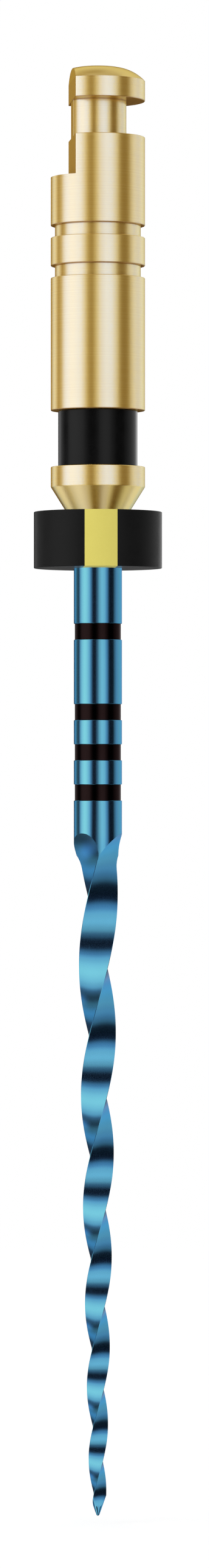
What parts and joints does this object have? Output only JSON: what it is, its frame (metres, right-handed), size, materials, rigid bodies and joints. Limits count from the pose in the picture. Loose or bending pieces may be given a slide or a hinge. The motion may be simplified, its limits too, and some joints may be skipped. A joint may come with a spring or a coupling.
{
  "type": "endodontic file",
  "caption": "Rotary root-canal file: fluted heat-treated wire bonded into a gold latch shank, with depth marks, a colour ring and a sliding silicone stop.",
  "frame": {"origin": "the tip of the file, on its axis, from which all working lengths are measured", "axes": "+Z along the file's axis from the tip to the latch head; the drive flat faces -X and the stop's direction mark faces -Y"},
  "size_m": [0.0032, 0.0032, 0.036],
  "materials": {
    "gold_brass": "gold-plated, fine turned",
    "ring_black": "smooth, slightly glossy",
    "blue_alloy": "blue heat-treated, ground",
    "adhesive": "cured",
    "mark_ink": "dark, baked",
    "stop_black": "matt silicone",
    "stop_yellow": "matt silicone"
  },
  "bodies": {
    "file": {"latch_handle": "gold_brass", "colour_ring": "ring_black", "file_wire": "blue_alloy", "tang_bond": "adhesive", "depth_mark_1": "mark_ink", "depth_mark_2": "mark_ink", "depth_mark_3": "mark_ink", "depth_mark_4": "mark_ink"},
    "stop": {"stop_disc": "stop_black", "stop_mark": "stop_yellow"}
  },
  "joints": [
    {"name": "stop_slide", "type": "slide", "parent": "file", "child": "stop", "axis": [0, 0, -1], "range_m": [0, 0.0064]}
  ]
}
